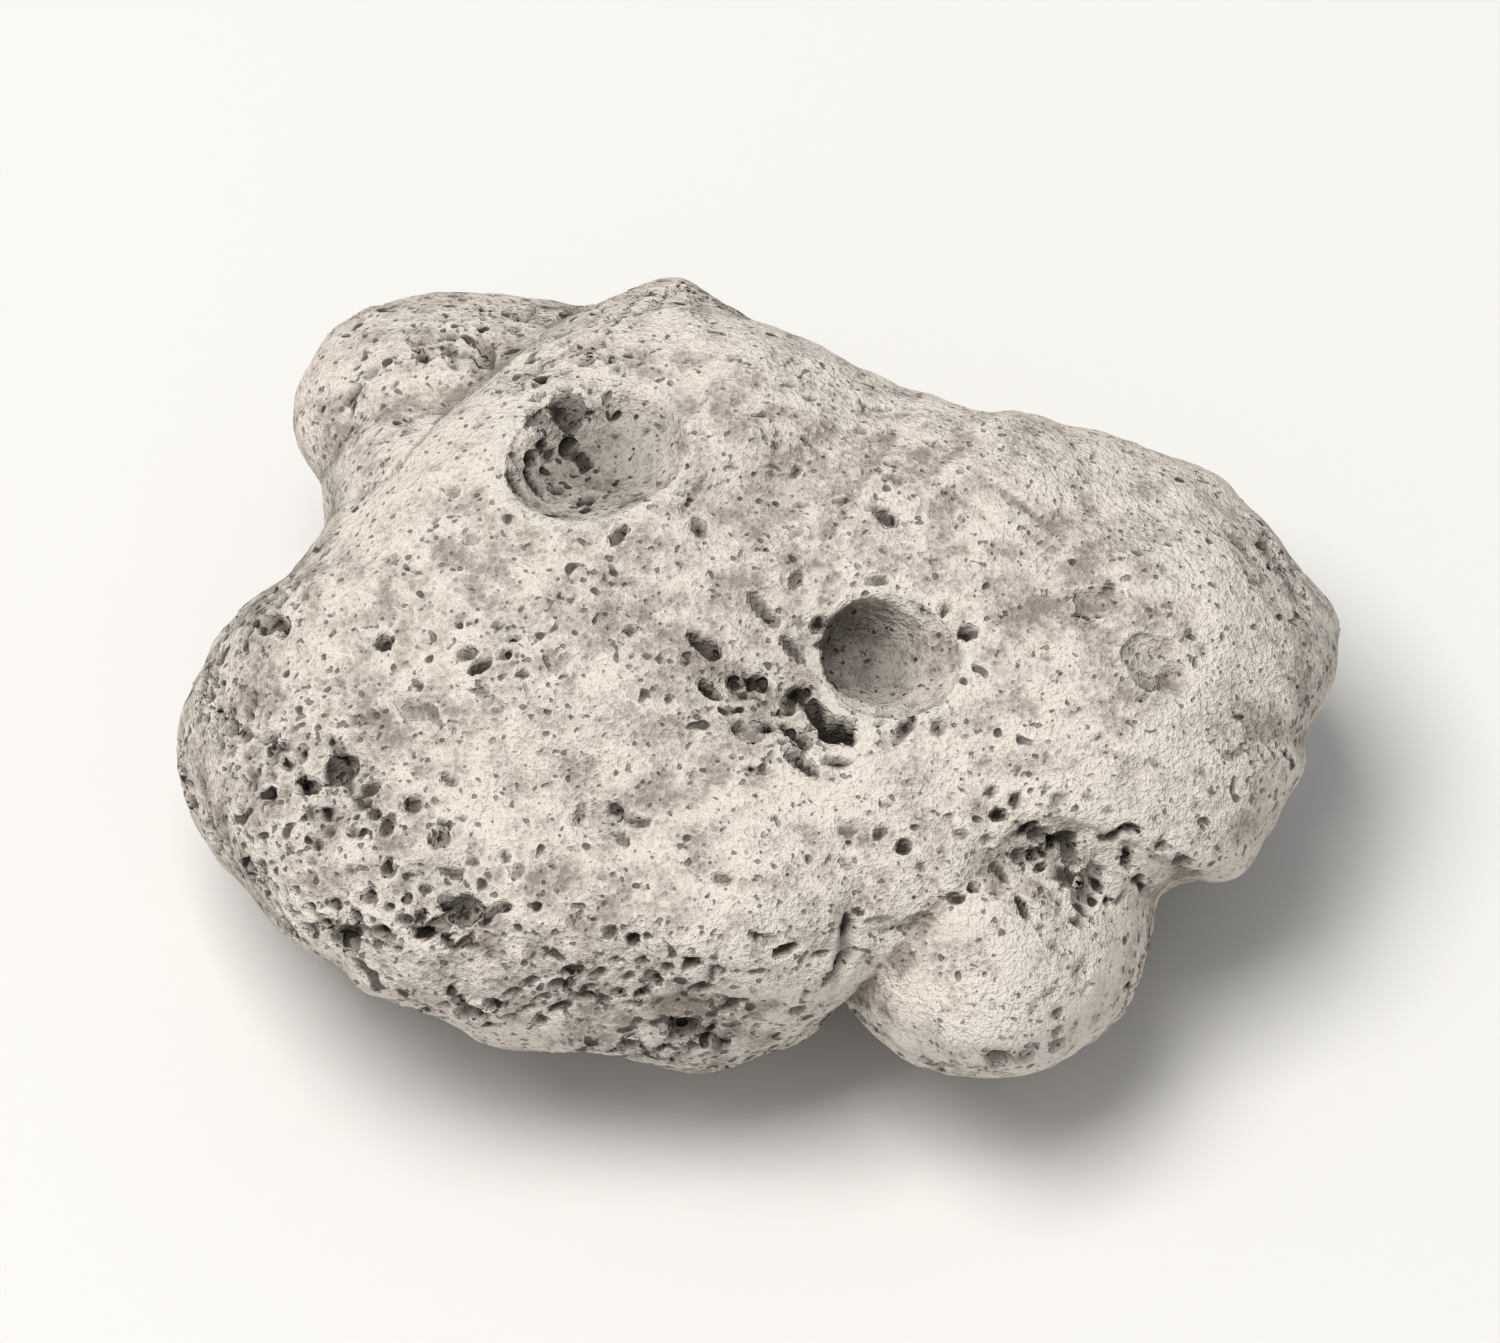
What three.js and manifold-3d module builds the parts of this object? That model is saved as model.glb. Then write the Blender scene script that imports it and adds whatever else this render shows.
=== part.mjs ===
// A pale volcanic pebble about 29 mm long: one tumbled piece of frothy lava, lying on a worn flat.
// Its body is a rounded pillow with a traced outline, grown together with a low shelf at the upper
// left and a round knob at the lower right, and broken open all over by old gas bubbles.
import * as THREE from "three";
import { mergeVertices } from "three/addons/utils/BufferGeometryUtils.js";
import Module from "manifold-3d";

// The pebble is described as it is seen, in millimetres from a point near the middle of its face:
// x to the right, y up the face and w out of the face, toward an eye that looks down at this angle.
const VIEW_ELEVATION = THREE.MathUtils.degToRad(56);
// Where that point lies in the pebble's own frame, which stands on the worn flat under its middle.
const FACE_MIDDLE = [-0.12, 0.19, 6.1];
// The body leans back: w falls by this much for each millimetre up the face.
const LEAN = 0.36;

// The body's outline as seen, counterclockwise from the peak at the top.
const BODY_OUTLINE = [
  [-1.84, 9.76], [-3.06, 9.39], [-5.51, 7.86], [-8.78, 5.61], [-9.94, 4.49], [-10.78, 2.86],
  [-12.45, 1.53], [-13.43, 0.45], [-14.04, -0.71], [-14.22, -1.94], [-13.92, -3.22], [-13.27, -4.45],
  [-12.24, -5.57], [-11.22, -6.63], [-9.9, -7.18], [-9.29, -7.76], [-8.16, -8.06], [-7.14, -8.73],
  [-6.12, -9.22], [-3.27, -9.45], [-2.04, -9.76], [-1.02, -9.73], [0.2, -9.35], [1.43, -8.78],
  [2.3, -7.8], [2.8, -7.2], [4.0, -6.85], [6.0, -6.5], [8.3, -6.15], [9.8, -5.4],
  [10.82, -5.06], [11.73, -5.06], [12.45, -4.53], [13.57, -2.55], [13.57, -1.53], [14.22, -0.51],
  [14.45, 0.71], [14.18, 1.73], [12.24, 3.92], [11.12, 4.94], [7.96, 5.88], [6.53, 6.24],
  [5.2, 6.12], [2.86, 7.14], [1.43, 7.86], [-1.12, 9.39],
];
// Half depths of the body before and behind the outline, and how square each half is.
const FRONT = { depth: 6.0, squareness: 3.8 };
const BACK = { depth: 7.2, squareness: 2.4 };
// Off the outline's own plane its corners are rounded, by a weighted mean over angles round it. The
// outline fades into that mean where the unit direction's w passes this depth.
const CORNER_ANGLES = [-24, -12, 0, 12, 24];
const CORNER_WEIGHTS = [1 / 9, 2 / 9, 3 / 9, 2 / 9, 1 / 9];
const OUTLINE_DEPTH = 0.3;
// Rounded facets, each a direction (x, y, w) and the distance of its plane from the centre.
const FACETS = [
  { normal: [-0.05, -0.8, 0.6], distance: 8.9 }, // the band that turns under, below the face
  { normal: [-0.64, 0.12, 0.76], distance: 10.6 }, // the left end of the face
  { normal: [0.62, 0.42, 0.66], distance: 11.9 }, // the upper right of the face
  { normal: [0.35, 0.62, -0.7], distance: 8.3 }, // three facets of the back
  { normal: [-0.6, 0.2, -0.77], distance: 9.8 },
  { normal: [0.7, -0.3, -0.65], distance: 11.6 },
];
const FACET_SHARPNESS = 20;
// Ellipsoid lumps that grow out of the body: middle, half sizes and turn about w.
const LUMPS = [
  { middle: [-6.6, 6.4, -0.9], half: [4.55, 3.05, 3.3], turn: -6 }, // the shelf
  { middle: [-8.1, 5.0, -0.6], half: [2.3, 2.1, 4.1], turn: 0 }, // where the shelf joins the body
  { middle: [5.86, -5.9, 0.3], half: [3.99, 3.99, 4.8], turn: 0 }, // the knob
];
const JOINT_SHARPNESS = 24;
// Long low waves of the skin: wave vector in radians per millimetre, phase and share of the radius.
const WAVES = [
  { vector: [0.52, 0.31, 0.42], phase: 0.6, share: 0.018 },
  { vector: [-0.35, 0.66, 0.5], phase: 2.1, share: 0.014 },
  { vector: [0.92, -0.58, 0.3], phase: 4.0, share: 0.009 },
  { vector: [0.25, 1.12, -0.86], phase: 1.2, share: 0.008 },
];
// The waves fade out toward the outline, which is drawn true already.
const WAVE_FADE = 0.05;

// Bubbles that broke open on the face and on the shelf and the knob, placed by eye: the middle of
// the opening (x, y), its half length, half width and turn in degrees, its depth, and how far the
// wall runs round from the bottom to the lip in degrees, over 90 where the lip overhangs. A bubble's
// axis may lean to the right and up the face: its wall is steep on one side and runs out softly on
// the side it leans to.
const FACE_BUBBLES = [
  { at: [-3.75, 5.35], half: [2.2, 1.7], turn: 30, depth: 1.15, reach: 66, lean: [0.45, -0.28] },
  { at: [3.0, 0.55], half: [1.22, 1.3], turn: 0, depth: 1, reach: 76, lean: [0.45, -0.12] },
  { at: [2.05, -1.35], half: [0.74, 0.5], turn: -40, depth: 1.9, reach: 100 }, // the black hole
  { at: [-1.9, 6.6], half: [1.5, 0.95], turn: 38, depth: 0.3, reach: 60 },
  { at: [1.5, -0.3], half: [3.3, 2.1], turn: 10, depth: 0.3, reach: 50 },
  { at: [-0.2, 4.4], half: [2.7, 1.7], turn: 8, depth: 0.25, reach: 50 },
  { at: [3.45, 0.3], half: [1.68, 1.58], turn: -30, depth: 0.34, reach: 72 },
  { at: [7.2, -4.4], half: [2.6, 1.2], turn: 0, depth: 0.3, reach: 50 },
  { at: [2.3, -6.95], half: [1.5, 0.4], turn: 78, depth: 0.25, reach: 60 }, // beside the knob
  { at: [8.35, -5.35], half: [0.72, 0.6], turn: 55, depth: 0.4, reach: 86 },
  { at: [9.1, -4.2], half: [0.6, 0.36], turn: 10, depth: 0.35, reach: 86 },
  { at: [6.95, -3.95], half: [0.55, 0.36], turn: 35, depth: 0.4, reach: 90 },
  { at: [6.6, -5.6], half: [0.48, 0.28], turn: -65, depth: 0.3, reach: 86 },
  { at: [5.2, -5.4], half: [0.5, 0.32], turn: 40, depth: 0.35, reach: 86 },
  { at: [3.6, -4.2], half: [0.46, 0.3], turn: 15, depth: 0.35, reach: 90 },
  { at: [-5.1, 4.75], half: [0.6, 0.45], turn: -45, depth: 0.5, reach: 90 },
  { at: [-3.6, -3.6], half: [0.95, 0.66], turn: -15, depth: 0.3, reach: 62 },
  { at: [-1.05, -0.1], half: [0.75, 0.4], turn: 80, depth: 0.3, reach: 80 },
  { at: [1.25, -1.9], half: [0.6, 0.42], turn: -40, depth: 0.4, reach: 86 },
  { at: [3.25, 3.85], half: [0.45, 0.3], turn: -38, depth: 0.3, reach: 86 },
  { at: [-6.4, 0.15], half: [0.5, 0.28], turn: 35, depth: 0.35, reach: 88 },
  { at: [-8.1, -0.8], half: [0.75, 0.5], turn: -45, depth: 0.3, reach: 65 },
  { at: [-10.35, -3.7], half: [0.7, 0.36], turn: 75, depth: 0.4, reach: 88 },
  { at: [-7.5, -6.4], half: [0.6, 0.34], turn: -30, depth: 0.35, reach: 86 },
  { at: [-6.2, -5.8], half: [0.5, 0.28], turn: 30, depth: 0.3, reach: 86 },
  { at: [-4.2, -7.9], half: [0.6, 0.28], turn: 15, depth: 0.35, reach: 86 },
  { at: [-1.35, -7.2], half: [0.5, 0.36], turn: 60, depth: 0.4, reach: 88 },
  { at: [0.85, -6.68], half: [0.46, 0.28], turn: 12, depth: 0.35, reach: 88 },
  { at: [-9.8, 6.85], half: [0.5, 0.28], turn: 55, depth: 0.3, reach: 86 },
];

// Wide scars of bubbles worn nearly flat on the sides and the back, each toward a direction (x, y, w).
const SCARS = [
  { toward: [-0.7, -0.65, -0.25], half: [3.0, 1.9], turn: 25, depth: 0.7, reach: 55 },
  { toward: [0.3, 0.85, -0.4], half: [3.4, 2.1], turn: -10, depth: 0.8, reach: 55 },
  { toward: [0.88, -0.1, -0.45], half: [2.4, 1.8], turn: 60, depth: 0.6, reach: 55 },
  { toward: [-0.8, 0.45, -0.4], half: [2.7, 2.1], turn: 0, depth: 0.6, reach: 55 },
];

// Bubbles all round the rest of the skin, spread evenly by an additive sequence.
const ROUND_BUBBLES = {
  count: 46,
  smallest: 0.62,
  largest: 1.9,
  // The larger this is, the rarer the big ones are.
  steepness: 2,
  // None lies where the unit direction's w is over this: on the face all are placed by eye.
  faceLimit: -0.08,
  // Each is at least this slim, and its wall runs round by one of the angles between these two.
  slimmest: 0.6,
  reach: [68, 98],
  // Depth as a share of the half width.
  depthShare: 0.72,
};
// The additive sequence's steps are the powers of 1/g, where g solves g^4 = g + 1.
const SEQUENCE_ROOT = 1.2207440846;

// Each skin is a sphere of 20 (detail + 1)^2 triangles, drawn out to its shape.
const BODY_DETAIL = 11;
const LUMP_DETAIL = 4;
// A bubble's detail is the number of these half lengths that it passes.
const BUBBLE_DETAIL = [0.62, 1, 2];
// The half sizes of the ellipsoid whose points give the directions of the body's points.
const BODY_SPREAD = [14.3, 9.8, 6.6];
const OUTLINE_STEPS = 440;
// The step along the unit sphere over which the skin's slope is taken, and the halvings of an angle.
const SLOPE_STEP = 0.02;
const HALVINGS = 40;
const FLOOR_BLOCK = { side: 60, height: 20 };

const STONE_COLOUR = "rgb(199, 190, 180)";
const STONE_ROUGHNESS = 0.95;

const wasm = await Module();
wasm.setup();

function solidOf(geometry) {
  geometry.deleteAttribute("normal");
  geometry.deleteAttribute("uv");
  const merged = mergeVertices(geometry, 1e-5);
  return new wasm.Manifold(
    new wasm.Mesh({
      numProp: 3,
      vertProperties: merged.attributes.position.array,
      triVerts: new Uint32Array(merged.index.array),
    }),
  );
}

function geometryOf(solid) {
  const mesh = solid.getMesh();
  const geometry = new THREE.BufferGeometry();
  geometry.setAttribute("position", new THREE.BufferAttribute(mesh.vertProperties, 3));
  geometry.setIndex(new THREE.BufferAttribute(mesh.triVerts, 1));
  geometry.computeVertexNormals();
  return geometry;
}

// The body's outline as a table of radius against angle, from a closed curve through its points.
function outlineTable() {
  const points = BODY_OUTLINE.map(([x, y]) => new THREE.Vector3(x, y, 0));
  const curve = new THREE.CatmullRomCurve3(points, true, "catmullrom", 0.5);
  return curve
    .getPoints(OUTLINE_STEPS)
    .slice(0, OUTLINE_STEPS)
    .map((p) => ({ angle: Math.atan2(p.y, p.x), radius: Math.hypot(p.x, p.y) }))
    .sort((a, b) => a.angle - b.angle);
}

const OUTLINE = outlineTable();

// The outline's radius at an angle, which may pass a full turn.
function tableRadius(given) {
  const angle = Math.atan2(Math.sin(given), Math.cos(given));
  let next = OUTLINE.findIndex((entry) => entry.angle > angle);
  if (next < 0) next = 0;
  const after = OUTLINE[next];
  const before = OUTLINE[(next + OUTLINE.length - 1) % OUTLINE.length];
  const turn = 2 * Math.PI;
  const span = (after.angle - before.angle + turn) % turn;
  const share = ((angle - before.angle + turn) % turn) / span;
  return THREE.MathUtils.lerp(before.radius, after.radius, share);
}

// The outline's radius in a direction, with its corners rounded away from its own plane.
function outlineRadius(d) {
  const angle = Math.atan2(d.y, d.x);
  const own = tableRadius(angle);
  let soft = 0;
  CORNER_ANGLES.forEach((step, i) => {
    soft += CORNER_WEIGHTS[i] * tableRadius(angle + THREE.MathUtils.degToRad(step));
  });
  return THREE.MathUtils.lerp(soft, own, Math.exp(-((d.z / OUTLINE_DEPTH) ** 2)));
}

// Distance from the centre to where the ray along a unit direction leaves the body.
function bodyRadius(d) {
  const flat = Math.hypot(d.x, d.y);
  const half = d.z > 0 ? FRONT : BACK;
  const across = flat / outlineRadius(d);
  const along = Math.abs(d.z) / half.depth;
  const pillow = (across ** half.squareness + along ** half.squareness) ** (-1 / half.squareness);
  let sum = pillow ** -FACET_SHARPNESS;
  for (const { normal, distance } of FACETS) {
    const facing = d.dot(new THREE.Vector3(...normal).normalize());
    if (facing > 0) sum += (facing / distance) ** FACET_SHARPNESS;
  }
  return sum ** (-1 / FACET_SHARPNESS);
}

// Distance from the centre to where the ray leaves a lump, or 0 where it misses.
function lumpRadius(d, { middle, half, turn }) {
  const axis = new THREE.Vector3(0, 0, 1);
  const back = THREE.MathUtils.degToRad(-turn);
  const size = new THREE.Vector3(...half);
  const ray = d.clone().applyAxisAngle(axis, back).divide(size);
  const start = new THREE.Vector3(...middle).applyAxisAngle(axis, back).divide(size);
  const along = ray.dot(start) / ray.lengthSq();
  const inside = along ** 2 - (start.lengthSq() - 1) / ray.lengthSq();
  return inside > 0 ? along + Math.sqrt(inside) : 0;
}

// The waves push a point out from the centre, or in, by a share of its distance.
function wave(point) {
  const rise = point.z ** 2 / point.lengthSq();
  const fade = rise / (rise + WAVE_FADE);
  let waves = 0;
  for (const { vector, phase, share } of WAVES) {
    waves += share * Math.sin(point.dot(new THREE.Vector3(...vector)) + phase);
  }
  return point.clone().multiplyScalar(1 + fade * waves);
}

// The point where the ray along a unit direction leaves the body with its lumps.
function seenPoint(d) {
  let sum = bodyRadius(d) ** JOINT_SHARPNESS;
  for (const lump of LUMPS) sum += lumpRadius(d, lump) ** JOINT_SHARPNESS;
  return wave(d.clone().multiplyScalar(sum ** (1 / JOINT_SHARPNESS)));
}

// From the seen frame (x, y, w) to the pebble's own: leant back, then laid under the eye.
function lay(p) {
  const w = p.z - LEAN * p.y;
  const sine = Math.sin(VIEW_ELEVATION);
  const cosine = Math.cos(VIEW_ELEVATION);
  const laid = new THREE.Vector3(p.x, p.y * sine - w * cosine, p.y * cosine + w * sine);
  return laid.add(new THREE.Vector3(...FACE_MIDDLE));
}

function skinPoint(d) {
  return lay(seenPoint(d));
}

// A frame on the skin: its point, the outward normal, and the seen x axis laid along the surface.
function skinFrame(d) {
  const side = new THREE.Vector3(0, 1, 0).cross(d).normalize();
  const up = d.clone().cross(side);
  const along = (axis, step) => skinPoint(d.clone().addScaledVector(axis, step).normalize());
  const rise = (axis) => along(axis, SLOPE_STEP).sub(along(axis, -SLOPE_STEP));
  const normal = rise(side).cross(rise(up)).normalize();
  const first = new THREE.Vector3(1, 0, 0);
  first.addScaledVector(normal, -first.dot(normal)).normalize();
  return { point: skinPoint(d), normal, first };
}

// The unit direction whose skin point is seen at (x, y), on the near side, by halving the angle.
function directionSeenAt([x, y]) {
  const wanted = Math.hypot(x, y);
  let low = 0;
  let high = Math.PI / 2;
  let d;
  for (let i = 0; i < HALVINGS; i++) {
    const angle = (low + high) / 2;
    d = new THREE.Vector3(
      (x / wanted) * Math.cos(angle),
      (y / wanted) * Math.cos(angle),
      Math.sin(angle),
    );
    const seen = seenPoint(d);
    if (Math.hypot(seen.x, seen.y) > wanted) low = angle;
    else high = angle;
  }
  return d;
}

// A bubble is an ellipsoid whose cut through the skin has the wanted opening and depth.
function bubbleSolid(d, { half, turn, depth, reach, lean = [0, 0] }) {
  const { point, normal, first } = skinFrame(d);
  const upward = normal.clone().cross(first);
  normal.addScaledVector(first, lean[0]).addScaledVector(upward, lean[1]).normalize();
  first.addScaledVector(normal, -first.dot(normal)).normalize();
  const angle = THREE.MathUtils.degToRad(reach);
  const size = Math.max(...half);
  const detail = BUBBLE_DETAIL.filter((limit) => size > limit).length;
  const geometry = new THREE.IcosahedronGeometry(1, detail);
  const height = depth / (1 - Math.cos(angle));
  geometry.scale(half[0] / Math.sin(angle), half[1] / Math.sin(angle), height);
  geometry.rotateZ(THREE.MathUtils.degToRad(turn));
  const second = normal.clone().cross(first);
  const middle = point.clone().addScaledVector(normal, height * Math.cos(angle));
  geometry.applyMatrix4(new THREE.Matrix4().makeBasis(first, second, normal).setPosition(middle));
  return solidOf(geometry);
}

function fraction(value) {
  return value - Math.floor(value);
}

// The bubbles round the skin: even directions, sizes by a power law, and each its own turn.
function* roundBubbles() {
  const { count, smallest, largest, steepness, faceLimit, slimmest, reach, depthShare } = ROUND_BUBBLES;
  for (let i = 1; i <= count; i++) {
    const [a, b, c] = [1, 2, 3].map((power) => fraction(0.5 + i / SEQUENCE_ROOT ** power));
    const height = 1 - 2 * a;
    if (height > faceLimit) continue;
    const ring = Math.sqrt(1 - height ** 2);
    const round = 2 * Math.PI * b;
    const d = new THREE.Vector3(ring * Math.cos(round), ring * Math.sin(round), height);
    d.multiply(new THREE.Vector3(...BODY_SPREAD)).normalize();
    const size = Math.min(smallest * (1 - c) ** (-1 / steepness), largest);
    const width = size * THREE.MathUtils.lerp(slimmest, 1, fraction(7 * c));
    yield bubbleSolid(d, {
      half: [size, width],
      turn: 360 * fraction(5 * b),
      depth: depthShare * width,
      reach: THREE.MathUtils.lerp(...reach, fraction(11 * c)),
    });
  }
}

// A closed skin from a sphere, each of whose points is moved by a function.
function skinSolid(detail, move) {
  const geometry = new THREE.IcosahedronGeometry(1, detail);
  const position = geometry.attributes.position;
  for (let i = 0; i < position.count; i++) {
    const point = move(new THREE.Vector3().fromBufferAttribute(position, i));
    position.setXYZ(i, ...lay(wave(point)));
  }
  return solidOf(geometry);
}

function bodySolid() {
  const spread = new THREE.Vector3(...BODY_SPREAD);
  return skinSolid(BODY_DETAIL, (point) => {
    const d = point.multiply(spread).normalize();
    return d.multiplyScalar(bodyRadius(d));
  });
}

function lumpSolid({ middle, half, turn }) {
  const axis = new THREE.Vector3(0, 0, 1);
  return skinSolid(LUMP_DETAIL, (point) => {
    point.multiply(new THREE.Vector3(...half));
    point.applyAxisAngle(axis, THREE.MathUtils.degToRad(turn));
    return point.add(new THREE.Vector3(...middle));
  });
}

function pebbleSolid() {
  let pebble = bodySolid();
  for (const lump of LUMPS) pebble = pebble.add(lumpSolid(lump));
  for (const bubble of FACE_BUBBLES) {
    pebble = pebble.subtract(bubbleSolid(directionSeenAt(bubble.at), bubble));
  }
  for (const scar of SCARS) {
    pebble = pebble.subtract(bubbleSolid(new THREE.Vector3(...scar.toward).normalize(), scar));
  }
  for (const solid of roundBubbles()) pebble = pebble.subtract(solid);
  const floor = new THREE.BoxGeometry(FLOOR_BLOCK.side, FLOOR_BLOCK.side, FLOOR_BLOCK.height);
  floor.translate(0, 0, -FLOOR_BLOCK.height / 2);
  return pebble.subtract(solidOf(floor));
}

const stone = new THREE.MeshStandardMaterial({
  color: STONE_COLOUR,
  roughness: STONE_ROUGHNESS,
  metalness: 0,
});
const pebble = new THREE.Mesh(geometryOf(pebbleSolid()), stone);
pebble.name = "lava_rock";

const lavaRock = new THREE.Group();
lavaRock.add(pebble);

export default lavaRock;
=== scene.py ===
import itertools
import math

import bpy
import numpy as np
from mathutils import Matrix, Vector


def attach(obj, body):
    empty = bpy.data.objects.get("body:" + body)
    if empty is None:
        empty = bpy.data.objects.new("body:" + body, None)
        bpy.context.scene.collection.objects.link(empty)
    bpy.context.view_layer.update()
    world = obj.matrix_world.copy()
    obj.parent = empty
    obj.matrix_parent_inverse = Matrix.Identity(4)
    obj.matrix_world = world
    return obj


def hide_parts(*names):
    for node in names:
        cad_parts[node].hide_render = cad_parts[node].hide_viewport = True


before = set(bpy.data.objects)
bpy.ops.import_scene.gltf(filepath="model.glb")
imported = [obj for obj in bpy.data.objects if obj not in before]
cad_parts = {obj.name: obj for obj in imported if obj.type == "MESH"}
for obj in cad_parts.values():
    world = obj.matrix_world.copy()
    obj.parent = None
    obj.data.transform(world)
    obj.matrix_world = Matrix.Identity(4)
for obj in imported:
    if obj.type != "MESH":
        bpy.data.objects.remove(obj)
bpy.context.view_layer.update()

# The stone's shape: one tumbled piece of pale, frothy lava. Its body is a rounded pillow with a
# traced outline, grown together with a low shelf and a round knob, and worn flat underneath.
# Sizes are millimetres, seen as x right, y up the face and w out of the face, toward the eye.

# The eye's height over the level, the seen frame's middle in the stone's own frame, and how far
# w falls for each millimetre of y, because the face leans back.
VIEW_ELEVATION = math.radians(56)
FACE_MIDDLE = np.array([-0.12, 0.19, 6.1])
LEAN = 0.36
BODY_OUTLINE = np.array([
    (-1.84, 9.76), (-3.06, 9.39), (-5.51, 7.86), (-8.78, 5.61), (-9.94, 4.49), (-10.78, 2.86),
    (-12.45, 1.53), (-13.43, 0.45), (-14.04, -0.71), (-14.22, -1.94), (-13.92, -3.22),
    (-13.27, -4.45), (-12.24, -5.57), (-11.22, -6.63), (-9.9, -7.18), (-9.29, -7.76),
    (-8.16, -8.06), (-7.14, -8.73), (-6.12, -9.22), (-3.27, -9.45), (-2.04, -9.76),
    (-1.02, -9.73), (0.2, -9.35), (1.43, -8.78), (2.3, -7.8), (2.8, -7.2), (4.0, -6.85),
    (6.0, -6.5), (8.3, -6.15), (9.8, -5.4), (10.82, -5.06), (11.73, -5.06), (12.45, -4.53),
    (13.57, -2.55), (13.57, -1.53), (14.22, -0.51), (14.45, 0.71), (14.18, 1.73), (12.24, 3.92),
    (11.12, 4.94), (7.96, 5.88), (6.53, 6.24), (5.2, 6.12), (2.86, 7.14), (1.43, 7.86),
    (-1.12, 9.39),
])
SPAN_STEPS = 10
# How deep the body is before and behind its outline, and how square that depth is.
FRONT_DEPTH, FRONT_SQUARENESS = 6.0, 3.8
BACK_DEPTH, BACK_SQUARENESS = 7.2, 2.4
# Off the outline's own plane its corners are rounded, by a weighted mean over angles round it. The
# outline fades into that mean where the unit direction's w passes this depth.
CORNER_ANGLES = np.radians([-24, -12, 0, 12, 24])
CORNER_WEIGHTS = np.array([1, 2, 3, 2, 1]) / 9
OUTLINE_DEPTH = 0.3
# Rounded facets: a direction (x, y, w) and the distance of its plane from the middle.
FACETS = [
    ((-0.05, -0.8, 0.6), 8.9),
    ((-0.64, 0.12, 0.76), 10.6),
    ((0.62, 0.42, 0.66), 11.9),
    ((0.35, 0.62, -0.7), 8.3),
    ((-0.6, 0.2, -0.77), 9.8),
    ((0.7, -0.3, -0.65), 11.6),
]
FACET_SHARPNESS = 20
# The shelf, its root and the knob: middle, half sizes and turn about w in degrees.
LUMPS = [
    ((-6.6, 6.4, -0.9), (4.55, 3.05, 3.3), -6),
    ((-8.1, 5.0, -0.6), (2.3, 2.1, 4.1), 0),
    ((5.86, -5.9, 0.3), (3.99, 3.99, 4.8), 0),
]
JOINT_SHARPNESS = 24
# Long low waves of the skin: wave vector in radians per millimetre, phase and share of the radius.
WAVES = [
    ((0.52, 0.31, 0.42), 0.6, 0.018),
    ((-0.35, 0.66, 0.5), 2.1, 0.014),
    ((0.92, -0.58, 0.3), 4.0, 0.009),
    ((0.25, 1.12, -0.86), 1.2, 0.008),
]
WAVE_FADE = 0.05


def unit(vectors):
    """Vectors divided by their lengths."""
    return vectors / np.linalg.norm(vectors, axis=-1, keepdims=True)


def outline_table():
    """Angle and radius along a closed curve through the outline's points. Each span is the usual
    cubic of four neighbouring points, which passes the middle two along the line of the outer
    two."""
    a, b, c, d = (np.roll(BODY_OUTLINE, shift, axis=0)[:, None] for shift in (1, 0, -1, -2))
    t = np.linspace(0, 1, SPAN_STEPS, endpoint=False)[None, :, None]
    curve = b + t * (c - a) / 2
    curve = curve + t**2 * (2 * a - 5 * b + 4 * c - d) / 2 + t**3 * (3 * b - a - 3 * c + d) / 2
    x, y = curve.reshape(-1, 2).T
    order = np.argsort(np.arctan2(y, x))
    return np.arctan2(y, x)[order], np.hypot(x, y)[order]


def body_radius(d):
    """Where the ray along d leaves the body: a superellipse in depth over the outline, met by the
    facets' planes. All are joined by a power mean, which rounds the edges between them."""
    angles, radii = outline_table()
    round_angle = np.arctan2(d[:, 1], d[:, 0])
    near = [
        np.interp(round_angle + step, angles, radii, period=2 * np.pi) for step in CORNER_ANGLES
    ]
    sharp = near[len(near) // 2]
    soft = np.tensordot(CORNER_WEIGHTS, near, 1)
    outline = soft + (sharp - soft) * np.exp(-((d[:, 2] / OUTLINE_DEPTH) ** 2))
    front = d[:, 2] > 0
    squareness = np.where(front, FRONT_SQUARENESS, BACK_SQUARENESS)
    across = np.hypot(d[:, 0], d[:, 1]) / outline
    along = np.abs(d[:, 2]) / np.where(front, FRONT_DEPTH, BACK_DEPTH)
    pillow = (across**squareness + along**squareness) ** (-1 / squareness)
    total = pillow**-FACET_SHARPNESS
    for normal, distance in FACETS:
        facing = np.maximum(d @ unit(np.array(normal)), 0)
        total = total + (facing / distance) ** FACET_SHARPNESS
    return total ** (-1 / FACET_SHARPNESS)


def lump_radius(d, middle, half, turn):
    """Where the ray along d leaves an ellipsoid, or 0 where it misses: the far root of the
    quadratic for a ray that meets a unit ball, after the ellipsoid is turned and shrunk to one."""
    c, s = math.cos(math.radians(turn)), math.sin(math.radians(turn))
    turned = np.array([(c, -s, 0), (s, c, 0), (0, 0, 1)])
    ray, start = d @ turned / half, np.array(middle) @ turned / half
    square = (ray**2).sum(axis=1)
    along = ray @ start / square
    inside = along**2 - (start @ start - 1) / square
    return np.where(inside > 0, along + np.sqrt(np.maximum(inside, 0)), 0)


def seen_skin(d):
    """The skin's points along the directions d: the largest of the body's and the lumps' radii,
    rounded where they join, pushed in and out by the waves, which fade toward the outline."""
    total = body_radius(d) ** JOINT_SHARPNESS
    for middle, half, turn in LUMPS:
        total = total + lump_radius(d, middle, half, turn) ** JOINT_SHARPNESS
    points = d * total[:, None] ** (1 / JOINT_SHARPNESS)
    waves = sum(share * np.sin(points @ vector + phase) for vector, phase, share in WAVES)
    fade = d[:, 2] ** 2 / (d[:, 2] ** 2 + WAVE_FADE)
    return points * (1 + fade * waves)[:, None]


def lay(points):
    """From the seen frame to the stone's own: w falls by LEAN times y, and then y and w turn about
    x by the eye's height over the level."""
    x, y, w = points.T
    w = w - LEAN * y
    sine, cosine = math.sin(VIEW_ELEVATION), math.cos(VIEW_ELEVATION)
    return np.stack([x, y * sine - w * cosine, y * cosine + w * sine], axis=1) + FACE_MIDDLE


# The stone's grid: the surface of a block of cells, so that it has no poles. Its points are drawn
# out from the middle onto the skin. The block has about the stone's own proportions, and it is
# moved toward the eye, so that the points lie closest together on the face.

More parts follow.
